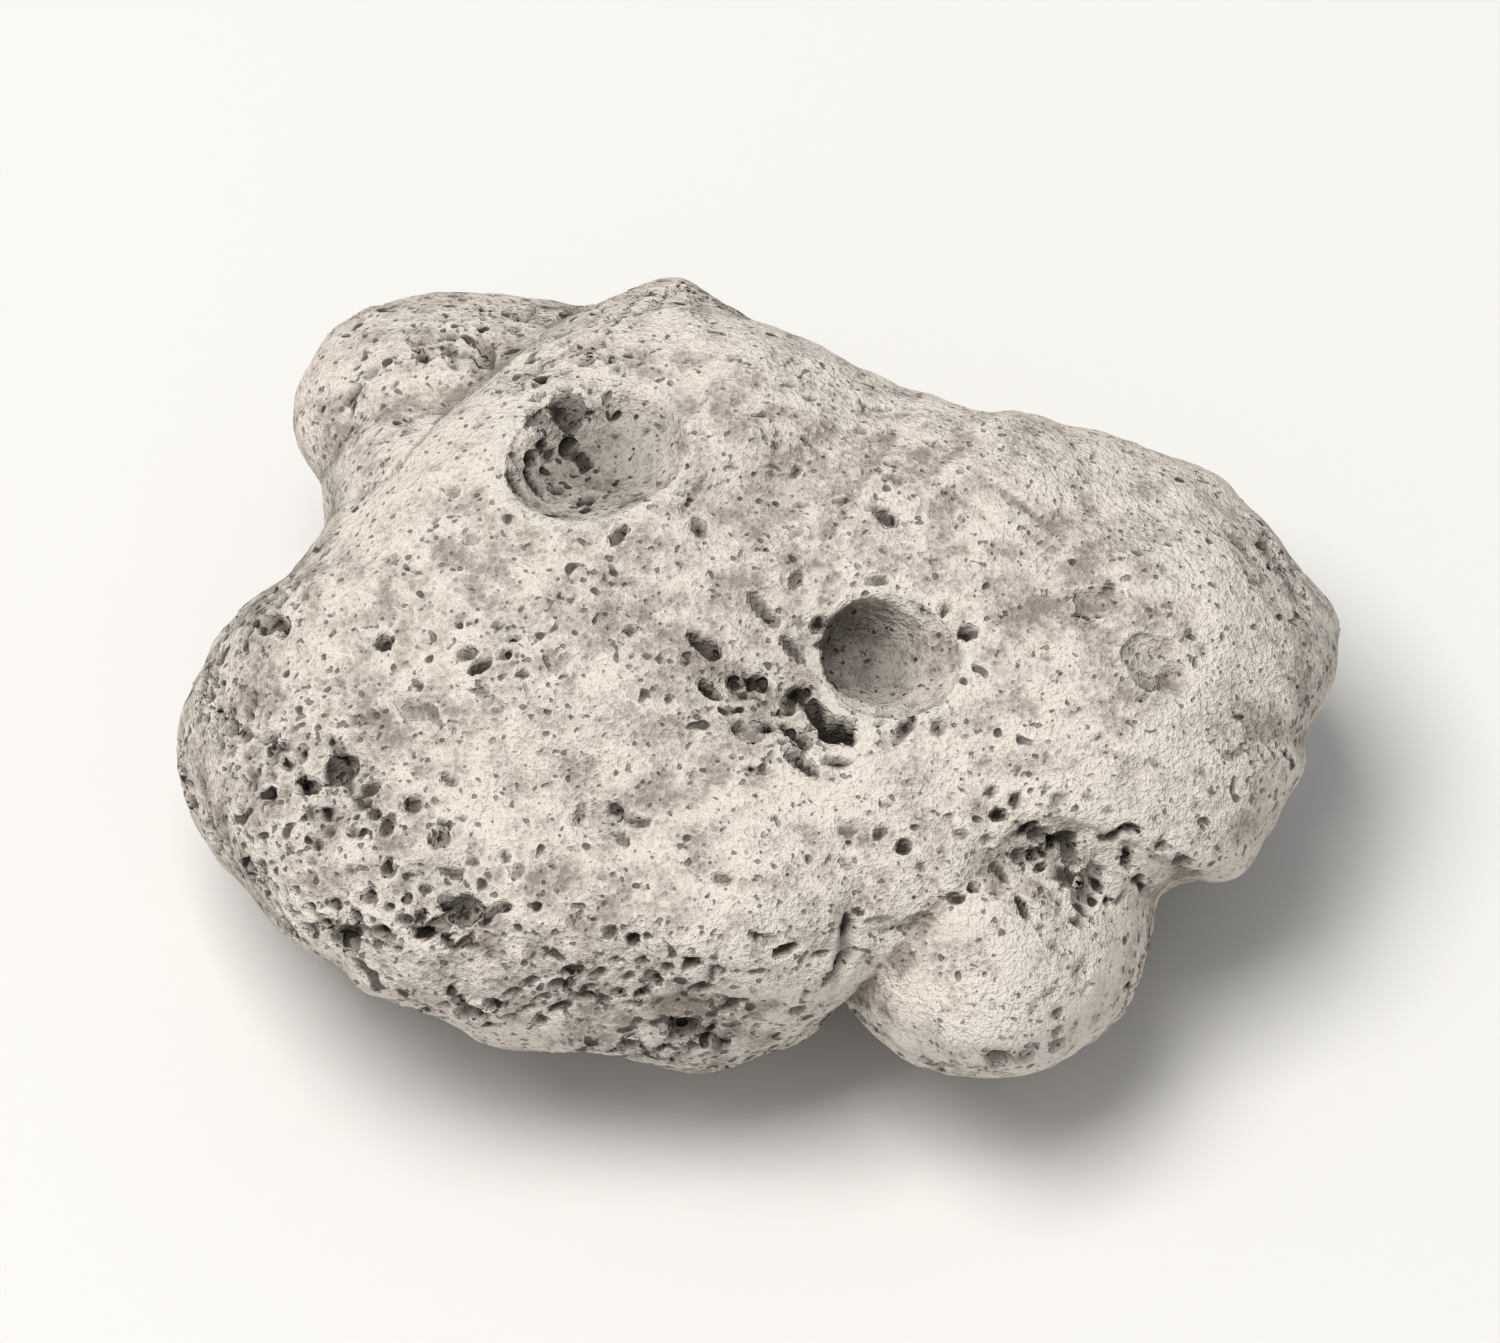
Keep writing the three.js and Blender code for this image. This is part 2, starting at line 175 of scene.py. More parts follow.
# Its numbers of cells and its half sizes, and how far it is moved, as a share of its half depth.
CELLS = (188, 132, 60)
SPREAD = np.array([14.3, 9.8, 6.6])
FACE_SHIFT = 0.22


def block_grid(cells):
    """The block's surface: the corners of its cells that lie at an end of some axis, each axis
    from -1 to 1 by 2 i / n - 1, and its four-sided faces, turned outward."""
    shape = tuple(n + 1 for n in cells)
    places = np.indices(shape)
    ends = [(places[axis] == 0) | (places[axis] == cells[axis]) for axis in range(3)]
    on_surface = ends[0] | ends[1] | ends[2]
    number = np.full(shape, -1)
    number[on_surface] = np.arange(on_surface.sum())
    points = [2 * places[axis][on_surface] / cells[axis] - 1 for axis in range(3)]
    faces = []
    for axis, end in itertools.product(range(3), (0, -1)):
        sheet = np.take(number, end, axis=axis)
        corners = [sheet[:-1, :-1], sheet[1:, :-1], sheet[1:, 1:], sheet[:-1, 1:]]
        if (axis == 1) == (end == -1):
            corners.reverse()
        faces.append(np.stack([c.ravel() for c in corners], axis=1))
    return np.stack(points, axis=1), np.concatenate(faces)


grid, stone_faces = block_grid(CELLS)
grid[:, 2] += FACE_SHIFT
directions = unit(grid * SPREAD)
seen = seen_skin(directions)
stone = lay(seen)

# The stone's skin is uneven to the touch: low mounds, and a rough grain over them, both pushed out
# of the skin along its normals. Each entry is the size of the bumps and their height.
ROUGHNESS = [(3.1, 0.15), (1.4, 0.085), (0.7, 0.055), (0.36, 0.03)]
# Large odd numbers that scatter a cell's whole numbers and the seed over 32 bits.
CELL_FACTORS = (73856093, 19349663, 83492791)
SEED_FACTOR = 2654435761
SCRAMBLES = [(13, 1274126177), (16, 668265263)]
LOW_32_BITS = 0xFFFFFFFF


def normals_of(points, faces):
    """Each point's normal: the sum of its faces' normals, each the cross of the two diagonals."""
    a, b, c, d = (points[faces[:, k]] for k in range(4))
    across = np.cross(c - a, d - b)
    total = np.zeros_like(points)
    for k, axis in itertools.product(range(4), range(3)):
        total[:, axis] += np.bincount(faces[:, k], across[:, axis], len(points))
    return unit(total)


def noise(points, seed):
    """Smooth random numbers from -1 to 1: hashed numbers at the corners of unit cells, blended
    across each cell by the cubic 3t^2 - 2t^3."""
    cell = np.floor(points).astype(np.int64)
    part = points - cell
    part = part * part * (3 - 2 * part)
    total = np.zeros(len(points))
    for corner in itertools.product((0, 1), repeat=3):
        key = (cell + corner) * CELL_FACTORS
        key = key[:, 0] ^ key[:, 1] ^ key[:, 2] ^ (seed * SEED_FACTOR)
        for shift, factor in SCRAMBLES:
            key = ((key ^ (key >> shift)) * factor) & LOW_32_BITS
        weight = np.prod(np.where(corner, part, 1 - part), axis=1)
        total += weight * (key / 2**31 - 1)
    return total


normals = normals_of(stone, stone_faces)
for layer, (size, height) in enumerate(ROUGHNESS):
    stone = stone + normals * (height * noise(stone / size, layer))[:, None]

# The bubbles that the stone froze around, each broken open where the skin was worn through it.
# Each is pressed into the skin as part of an ellipsoid's wall, in each group the largest first.

# Those listed one by one: the opening's middle as seen (x, y), half length and half width, turn in
# degrees, depth, and how far the wall runs round from the bottom to the lip, over 90 where it
# overhangs. Where the axis leans, the last pair is by how much, to the right and up the face: that
# side of the bubble runs out softly, and the other side is steep.
FACE_BUBBLES = [
    ((-3.75, 5.35), (2.2, 1.7), 30, 1.15, 66, (0.45, -0.28)),
    ((-1.9, 6.6), (1.5, 0.95), 38, 0.3, 60),
    ((3.45, 0.3), (1.72, 1.6), -30, 0.55, 84, (-0.2, 0.1)),
    ((3.0, 0.55), (1.22, 1.3), 0, 0.85, 76, (0.45, -0.12)),
    ((2.08, -1.36), (0.66, 0.5), -40, 1.7, 100),
    ((1.5, -0.3), (3.3, 2.1), 10, 0.3, 50),
    ((-0.2, 4.4), (2.7, 1.7), 8, 0.25, 50),
    ((9.8, 0.3), (0.85, 0.72), -40, 0.2, 80),
    ((10.4, -0.25), (0.52, 0.46), 0, 0.18, 80),
    ((8.5, 1.6), (0.66, 0.52), 0, 0.16, 76),
    ((8.35, -5.35), (0.66, 0.55), 55, 0.3, 86),
    ((6.5, -4.3), (0.5, 0.45), 0, 0.12, 70),
    ((-3.6, -3.6), (0.95, 0.66), -15, 0.22, 62),
    ((-8.3, -0.9), (0.62, 0.4), -45, 0.3, 62),
    ((-0.05, -1.45), (0.42, 0.38), 0, 0.1, 70),
    ((-7.3, -5.2), (2.2, 0.9), -12, 0.15, 55),
    ((7.2, -4.4), (2.6, 1.2), 0, 0.3, 50),
    ((-10.3, -3.5), (1.3, 0.7), 70, 0.2, 55),
    ((2.3, -6.8), (1.5, 0.34), 80, 0.28, 60),
    ((3.9, -6.15), (1.6, 0.28), 4, 0.14, 60),
    # Long faint scratches on the smooth upper right.
    ((6.2, 4.35), (1.3, 0.2), -35, 0.06, 60),
    ((6.95, 3.8), (1.4, 0.2), -33, 0.06, 60),
    ((5.6, 3.85), (1.0, 0.18), -38, 0.05, 60),
    ((12.1, 2.9), (1.5, 0.18), -42, 0.1, 60),
    ((12.35, 2.15), (1.4, 0.17), -46, 0.09, 60),
]
# Its pits: middle (x, y), half length, half width, turn and depth. Their walls overhang a little.
PITS = [
    # In the big hollow and round its rim.
    (-5.35, 4.65, 0.47, 0.17, -45, 0.5), (-4.85, 4.9, 0.44, 0.15, -50, 0.45),
    (-5.1, 6.2, 0.34, 0.22, 40, 0.3), (-4.55, 6.45, 0.25, 0.15, 20, 0.2),
    (-4.7, 5.55, 0.3, 0.13, -50, 0.2), (-3.75, 5.4, 0.5, 0.2, -45, 0.22),
    (-3.65, 4.55, 0.2, 0.17, 60, 0.25), (-3.2, 3.4, 0.36, 0.16, 45, 0.25),
    (-2.5, 6.0, 0.14, 0.12, 0, 0.15), (-3.4, 8.7, 0.34, 0.15, 30, 0.2),
    (-2.7, 8.85, 0.24, 0.15, -40, 0.2), (-3.25, 7.55, 0.13, 0.11, 0, 0.1),
    # On the shelf.
    (-9.85, 6.8, 0.36, 0.15, 55, 0.25), (-9.3, 7.4, 0.32, 0.13, 50, 0.12),
    (-8.25, 6.3, 0.28, 0.16, 15, 0.22), (-8.05, 7.8, 0.15, 0.13, 0, 0.18),
    (-8.4, 8.4, 0.24, 0.15, 0, 0.1), (-7.5, 8.3, 0.3, 0.13, -60, 0.14),
    (-7.2, 7.85, 0.36, 0.13, 0, 0.14), (-6.65, 6.05, 0.17, 0.14, 0, 0.14),
    (-7.6, 6.4, 0.14, 0.12, 0, 0.1), (-9.6, 4.5, 0.2, 0.13, 80, 0.18),
    (-7.25, 4.4, 0.2, 0.17, 0, 0.14), (-6.8, 3.3, 0.22, 0.17, 0, 0.12),
    (-8.7, 2.7, 0.26, 0.18, 0, 0.1), (-5.2, 7.2, 0.14, 0.11, 0, 0.1),
    # The middle of the face.
    (-1.2, 3.5, 0.32, 0.17, -70, 0.25), (-1.4, 4.4, 0.6, 0.13, 60, 0.08),
    (-1.1, 0.68, 0.5, 0.2, -42, 0.45), (-0.88, 0.48, 0.26, 0.2, 40, 0.4),
    (-1.6, 0.2, 0.14, 0.12, 0, 0.15), (-1.05, -0.45, 0.38, 0.24, -45, 0.55),
    (0.35, -0.3, 0.2, 0.15, 0, 0.12), (-0.1, -0.6, 0.16, 0.11, 0, 0.1),
    (0.85, -0.75, 0.28, 0.12, -45, 0.15), (1.35, -0.65, 0.26, 0.12, -40, 0.18),
    (0.35, 1.5, 0.6, 0.2, -50, 0.25), (1.05, 0.65, 0.45, 0.18, -50, 0.3),
    (1.66, -1.02, 0.26, 0.22, 0, 0.4), (2.48, -1.66, 0.28, 0.18, -60, 0.4),
    (1.08, -1.42, 0.45, 0.17, -42, 0.45), (1.3, -2.2, 0.6, 0.18, -35, 0.42),
    (2.15, -2.2, 0.42, 0.15, -8, 0.28), (3.55, -1.62, 0.24, 0.14, 30, 0.2),
    (3.8, -1.38, 0.3, 0.17, 45, 0.32), (3.15, -1.3, 0.14, 0.11, 0, 0.1),
    (4.6, -1.4, 0.22, 0.15, -70, 0.2), (4.1, -0.65, 0.14, 0.12, 0, 0.15),
    (3.25, -0.8, 0.26, 0.16, 0, 0.2), (3.05, 2.2, 0.34, 0.14, 0, 0.18),
    (1.1, 3.35, 0.2, 0.14, 30, 0.14), (1.15, 2.3, 0.28, 0.17, 60, 0.18),
    (1.8, 1.75, 0.16, 0.12, 0, 0.12), (1.2, 1.2, 0.16, 0.14, 0, 0.15),
    (4.76, 1.55, 0.21, 0.15, 70, 0.3), (5.3, 0.92, 0.25, 0.2, 0, 0.5),
    (3.25, 3.8, 0.42, 0.22, -38, 0.3), (2.98, 4.08, 0.2, 0.15, 80, 0.2),
    # Toward the peak and along the upper edge.
    (-0.5, 7.55, 0.15, 0.13, 0, 0.15), (0.95, 6.9, 0.16, 0.14, 60, 0.2),
    (1.4, 6.6, 0.15, 0.13, 0, 0.18), (1.35, 5.6, 0.2, 0.12, -60, 0.12),
    (2.7, 5.9, 0.2, 0.14, 0, 0.15), (3.2, 6.4, 0.2, 0.13, 0, 0.12),
    (4.6, 5.5, 0.4, 0.15, -20, 0.08), (3.55, 4.7, 0.3, 0.12, -35, 0.08),
    (-0.4, 4.95, 0.16, 0.13, 0, 0.12), (1.05, 4.85, 0.2, 0.13, 70, 0.15),
    (0.5, 5.0, 0.14, 0.12, 0, 0.1), (1.25, 4.1, 0.16, 0.13, 0, 0.12),
    (2.2, 4.15, 0.17, 0.12, 0, 0.1),
    # The right end.
    (7.2, 0.3, 0.14, 0.13, 0, 0.14), (9.5, -0.65, 0.15, 0.13, 0, 0.14),
    (10.1, 2.5, 0.15, 0.13, 0, 0.14), (9.5, 2.85, 0.2, 0.13, 0, 0.12),
    (10.05, 1.6, 0.14, 0.12, 0, 0.12), (11.0, 0.55, 0.15, 0.13, 0, 0.12),
    (9.8, -2.2, 0.14, 0.13, 0, 0.14), (11.9, -1.1, 0.22, 0.12, 0, 0.14),
    (11.8, -1.95, 0.4, 0.16, 30, 0.14), (12.4, 2.2, 0.26, 0.14, 45, 0.12),
    (13.1, -2.0, 0.14, 0.12, 0, 0.14), (10.8, -3.3, 0.2, 0.15, 0, 0.12),
    (9.8, -3.6, 0.17, 0.12, 0, 0.14), (8.7, -3.4, 0.2, 0.12, 0, 0.12),
    (8.2, -3.0, 0.14, 0.12, 0, 0.15), (7.2, -2.8, 0.14, 0.12, 0, 0.12),
    # The broken band above the knob.
    (3.75, -4.3, 0.26, 0.19, 10, 0.4), (3.2, -3.95, 0.24, 0.13, 40, 0.25),
    (3.35, -3.2, 0.14, 0.12, 0, 0.1), (2.35, -3.85, 0.28, 0.15, 0, 0.15),
    (2.25, -4.7, 0.26, 0.12, -30, 0.14), (4.1, -4.75, 0.14, 0.13, 0, 0.15),
    (6.05, -3.48, 0.24, 0.18, 20, 0.4), (6.42, -3.05, 0.24, 0.15, 75, 0.3),
    (6.85, -3.92, 0.32, 0.17, 35, 0.35), (7.36, -4.25, 0.2, 0.17, 80, 0.4),
    (7.15, -4.8, 0.18, 0.12, 20, 0.2), (6.1, -4.95, 0.36, 0.13, -50, 0.2),
    (6.62, -5.7, 0.38, 0.14, -65, 0.28), (5.4, -5.2, 0.21, 0.17, 0, 0.25),
    (5.0, -5.55, 0.24, 0.17, 0, 0.4), (7.92, -5.1, 0.3, 0.14, 65, 0.3),
    (8.15, -5.7, 0.26, 0.15, -30, 0.35), (8.5, -5.22, 0.22, 0.14, -60, 0.35),
    (8.75, -5.62, 0.16, 0.14, 0, 0.3), (8.3, -4.85, 0.2, 0.12, 0, 0.2),
    (7.98, -6.1, 0.18, 0.13, 0, 0.22), (8.85, -4.0, 0.3, 0.15, 30, 0.28),
    (9.25, -3.88, 0.3, 0.15, -10, 0.32), (9.22, -4.65, 0.36, 0.15, -80, 0.35),
    (9.4, -5.2, 0.28, 0.13, -45, 0.2), (10.05, -4.25, 0.22, 0.14, 0, 0.22),
    (10.48, -4.7, 0.23, 0.19, 10, 0.4),
    # The knob and the crease round it.
    (2.35, -6.25, 0.36, 0.16, 85, 0.25), (2.6, -5.85, 0.16, 0.13, 0, 0.2),
    (1.95, -7.45, 0.28, 0.17, 38, 0.3), (2.25, -7.1, 0.26, 0.12, 45, 0.2),
    (2.6, -7.7, 0.22, 0.12, -30, 0.18), (2.45, -8.3, 0.45, 0.14, -30, 0.25),
    (3.2, -6.0, 0.5, 0.12, -5, 0.09), (4.1, -5.95, 0.4, 0.12, 0, 0.07),
    (3.4, -8.4, 0.3, 0.11, -50, 0.1), (7.3, -6.65, 0.17, 0.14, 0, 0.12),
    (7.9, -7.2, 0.45, 0.12, 55, 0.1), (7.2, -7.75, 0.32, 0.12, 20, 0.1),
    (6.8, -8.2, 0.3, 0.13, 60, 0.12), (6.6, -9.15, 0.21, 0.18, 0, 0.25),
    (5.85, -8.0, 0.14, 0.12, 0, 0.08),
    # Along the bottom.
    (-3.3, -3.3, 0.27, 0.17, -20, 0.3), (-2.8, -3.58, 0.42, 0.14, -15, 0.25),
    (-3.08, -4.05, 0.34, 0.14, -70, 0.18), (-4.2, -3.45, 0.32, 0.16, 80, 0.14),
    (-2.6, -5.2, 0.13, 0.11, 0, 0.12), (-2.8, -6.48, 0.23, 0.16, 60, 0.35),
    (-3.4, -6.3, 0.2, 0.13, 70, 0.14), (-1.42, -7.0, 0.3, 0.18, 35, 0.4),
    (-1.22, -7.6, 0.21, 0.18, 0, 0.28), (-0.8, -7.2, 0.32, 0.12, -45, 0.18),
    (-0.4, -7.86, 0.3, 0.14, 0, 0.28), (-2.4, -7.35, 0.32, 0.14, 45, 0.18),
    (-2.9, -8.05, 0.3, 0.13, 0, 0.18), (0.15, -6.4, 0.2, 0.12, -40, 0.2),
    (0.85, -6.68, 0.36, 0.17, 12, 0.4), (1.75, -6.85, 0.21, 0.12, 0, 0.15),
    (0.15, -8.6, 0.14, 0.12, 0, 0.12), (-2.9, -8.85, 0.26, 0.12, 0, 0.12),
    # The left end and the ragged corner below it.
    (-8.9, 0.65, 0.23, 0.2, 0, 0.4), (-6.5, 0.1, 0.36, 0.18, 35, 0.4),
    (-5.9, 0.5, 0.2, 0.17, 0, 0.25), (-4.5, 0.35, 0.19, 0.16, 0, 0.12),
    (-2.95, 1.0, 0.17, 0.15, 0, 0.2), (-6.65, 1.2, 0.17, 0.12, 0, 0.12),
    (-10.0, -0.2, 0.17, 0.14, 0, 0.1), (-11.65, -0.5, 0.36, 0.12, -50, 0.1),
    (-9.7, -1.2, 0.27, 0.13, 45, 0.18), (-10.2, -1.65, 0.16, 0.14, 0, 0.22),
    (-8.05, -0.35, 0.22, 0.14, -45, 0.25), (-7.7, -1.0, 0.42, 0.15, -60, 0.14),
    (-6.1, -1.0, 0.14, 0.12, 0, 0.1), (-12.15, -1.55, 0.85, 0.11, -35, 0.08),
    (-11.25, -2.2, 0.27, 0.18, -30, 0.4), (-9.8, -2.5, 0.32, 0.16, 60, 0.28),
    (-7.35, -2.6, 0.3, 0.14, -40, 0.18), (-10.35, -3.4, 0.22, 0.2, 0, 0.4),
    (-10.15, -3.8, 0.16, 0.13, 0, 0.2), (-10.45, -4.15, 0.2, 0.16, 70, 0.3),
    (-9.7, -4.8, 0.22, 0.11, -40, 0.14), (-12.35, -3.3, 0.17, 0.15, 0, 0.12),
    (-13.5, -2.8, 0.5, 0.12, -65, 0.1), (-8.8, -4.75, 0.24, 0.2, 0, 0.16),
    (-7.3, -4.9, 0.36, 0.13, -20, 0.18), (-6.75, -4.65, 0.2, 0.13, 0, 0.14),
    (-6.0, -4.5, 0.22, 0.13, -70, 0.16), (-9.25, -5.5, 0.23, 0.15, 0, 0.22),
    (-8.3, -5.5, 0.17, 0.14, 70, 0.2), (-10.15, -5.6, 0.26, 0.13, 10, 0.16),
    (-9.6, -6.28, 0.7, 0.14, -8, 0.16), (-7.78, -6.3, 0.24, 0.18, 0, 0.4),
    (-7.35, -6.6, 0.32, 0.12, -50, 0.22), (-6.95, -6.6, 0.36, 0.12, 45, 0.2),
    (-6.3, -5.85, 0.4, 0.15, 30, 0.25), (-5.9, -5.65, 0.17, 0.15, 0, 0.28),
    (-9.4, -7.2, 0.21, 0.14, 0, 0.18), (-4.05, -7.82, 0.42, 0.16, 15, 0.35),
    (-4.6, -8.15, 0.3, 0.14, 20, 0.22),
]
PIT_REACH = 97
# Points behind the outline count as this much further off, so that no pit lands there.
BEHIND = 100
# After a bubble with a half length over this, the normals are worked out again.
LARGE = 0.45
# Wide scars of bubbles worn nearly flat, each toward a direction (x, y, w).
SCARS = [
    ((-0.7, -0.65, -0.25), (3.0, 1.9), 25, 0.7, 55),
    ((0.3, 0.85, -0.4), (3.4, 2.1), -10, 0.8, 55),
    ((0.88, -0.1, -0.45), (2.4, 1.8), 60, 0.6, 55),
    ((-0.8, 0.45, -0.4), (2.7, 2.1), 0, 0.6, 55),
]
# Bubbles all round: how many, their smallest and largest half length, how rare the large ones are,
# and the height on the unit ball above which none lies, because there they are listed one by one.
ROUND_BUBBLES = (46, 0.62, 1.9, 2, -0.08)
# The least half width as a share of the half length, the range of the reach, and the depth as a
# share of the half width.
SLIMMEST = 0.6
REACH = (68, 98)
DEPTH_SHARE = 0.72
# The additive sequence's steps are the powers of 1/g, where g solves g^4 = g + 1. Where it starts
# for these bubbles and for the small ones, and the factors that draw a bubble's width, reach and
# turn from the parts after the point of its numbers.
SEQUENCE_ROOT = 1.2207440846
ROUND_START, SMALL_START = 0.5, 0.27
WIDTH_FACTOR, REACH_FACTOR, TURN_FACTOR = 7, 11, 5
# The froth's own small bubbles: most lie in drifts, drawn out along the way the lava flowed.
SMALL_BUBBLES = (1900, 0.17, 0.45, 3.0, 1.0)
# Their depth as a share of their half width.
SMALL_DEPTH = 1.4
# The drifts' noise, in cells to a millimetre, and the value, less the froth, from which bubbles
# are open in it.
DRIFT_SCALE, DRIFT_SEED = 0.28, 41
DRIFT_EDGE = 0.45
# The way the lava flowed, in degrees, and how far the small bubbles turn from it, as a share of
# half a turn either way.
FLOW_TURN = 35
FLOW_STRAY = 0.3
# Ragged patches as seen: middle, radius and number of bubbles.
RAGGED = [
    ((7.4, -4.2), 2.4, 16),
    ((0.9, -0.9), 1.9, 14),
    ((-9.8, -2.9), 2.2, 12),
    ((-7.6, -6.0), 2.6, 16),
    ((-1.2, -7.5), 3.2, 14),
    ((-6.4, 0.3), 1.6, 5),
    ((-4.6, 5.6), 1.3, 4),
]
# Their bubbles crowd toward the middle by this power. Then come the smallest and largest half
# length and the power that makes the large ones rare, and the ranges of the half width as a share
# of the half length, of the turn off the flow, of the depth as a share of the half width, and of
# the reach.
RAGGED_SEED = 5
RAGGED_CROWDING = 0.7
RAGGED_SMALLEST, RAGGED_LARGEST, RAGGED_RARITY = 0.15, 0.34, -0.4
RAGGED_WIDTHS = (0.45, 0.9)
RAGGED_TURNS = (-60, 60)
RAGGED_DEPTHS = (0.7, 2.0)
RAGGED_REACHES = (75, 105)
# Patches that are worn smooth, as seen: middle and radius.
SMOOTH = [
    ((8.0, 2.4), 6.0),
    ((8.0, -1.6), 2.6),
    ((3.2, 5.4), 2.2),
    ((5.4, -7.9), 2.8),
    ((-0.8, -4.6), 2.2),
    ((-5.6, -2.0), 2.2),
    ((-8.0, 2.6), 2.2),
]
# Froth is how open the skin is, from 0 where it is worn smooth to 1 where it is ragged. Its mean,
# how much it wanders, over what size, and what the patches and the worn face add to it.
FROTH_MEAN, FROTH_WANDER, FROTH_SIZE, FROTH_SEED = 0.42, 0.45, 1.9, 61
RAGGED_SHARE, SMOOTH_SHARE, FACE_SHARE = 0.3, -0.55, -0.17
# Where it is under this, none of the small bubbles are open.
WORN_SMOOTH = 0.2
# The face begins at this w of the unit direction.
FACE_BEGINS = 0.35
# A bubble's outline isn't a true ellipse: each entry bends it by noise of this size and strength,
# as shares of its half length and half width. Bubbles larger than the calm size are bent less.
BENDS = [(1.1, 0.30), (0.42, 0.17)]
LEAST_BEND = 0.12
BEND_SEEDS = (21, 22)
CALM_SIZE = 0.8
# A bubble moves the points within this share of its half length and this much more, if the cosine
# between their normal and its own is over the last.
NEAR_SHARE, NEAR_MORE, LEAST_FACING = 1.7, 0.15, -0.2
# Walls steeper than this, in degrees at the lip, end in a crisp lip, and so do those whose axis
# leans. Lower ones are soft dents.
CRISP_REACH = 65
# Points nearer to a crisp lip than this are drawn onto it, unless the half width is under twice
# that.
LIP_SNAP = 0.1
# The lip's rim stands up a little: where it is highest, in half sizes from the middle, how wide
# it is, how high, and the half width from which it is full.
RIM_AT, RIM_WIDTH, LIP_HEIGHT, FULL_RIM = 1.08, 0.1, 0.05, 0.5
# How quickly the lip of a leaning bubble softens, from its middle to the side where it runs out.
RUN_OUT = 3
# The wall's depth is uneven by this share, in lumps of this share of the half length and this much
# more.
WALL_UNEVEN, WALL_LUMP, LEAST_LUMP, WALL_SEED = 0.2, 0.3, 0.1, 31
# The least rho that is divided by, at a bubble's very middle.
LEAST_RHO = 1e-6
# How far the skin may fall away below the opening's middle, as a share of the half length, before
# the bubble passes over it.
SAG_SHARE = 0.2
# How dark a bubble's bottom is painted, as painted shade: a power of its depth over its full
# width, and more in one that is wider than the calm size, by a power of its width over that.
SHADE_POWER, WIDE_POWER = 0.95, 0.5


def scattered(count, smallest, largest, steepness, limit, start):
    """Directions, half sizes, turns, depths and reaches of bubbles spread evenly round the stone.
    The n-th one's three numbers are the parts after the point of start plus n times the steps: the
    height on a ball, the way round it, and the rank that gives the size by a power law."""
    steps = np.arange(1, count + 1)[:, None] / SEQUENCE_ROOT ** np.arange(1, 4)
    a, b, c = ((start + steps) % 1).T
    height = 1 - 2 * a
    ring = np.sqrt(1 - height**2)
    toward = np.stack([ring * np.cos(2 * np.pi * b), ring * np.sin(2 * np.pi * b), height], axis=1)
    size = np.minimum(smallest * (1 - c) ** (-1 / steepness), largest)
    width = size * (SLIMMEST + (1 - SLIMMEST) * (WIDTH_FACTOR * c % 1))
    reach = REACH[0] + (REACH[1] - REACH[0]) * (REACH_FACTOR * c % 1)
    turn = 360 * (TURN_FACTOR * b % 1)
    keep = height <= limit
    half = np.stack([size, width], axis=1)
    group = (unit(toward * SPREAD), half, turn, DEPTH_SHARE * width, reach)
    return [values[keep] for values in group]


def bends_at(points, half):
    """Two offsets of the points that make an ellipse ragged: the sum of the noises of BENDS, each
    times its share of the half width. Over the calm size, the half width is taken as the calm size
    squared over it."""
    width = min(half[1], CALM_SIZE**2 / half[1])
    shifts = [0, 0]
    for (size, share), (which, seed) in itertools.product(BENDS, enumerate(BEND_SEEDS)):
        bend = noise(points / (size * half[0] + LEAST_BEND), seed)
        shifts[which] = shifts[which] + share * width * bend
    return shifts


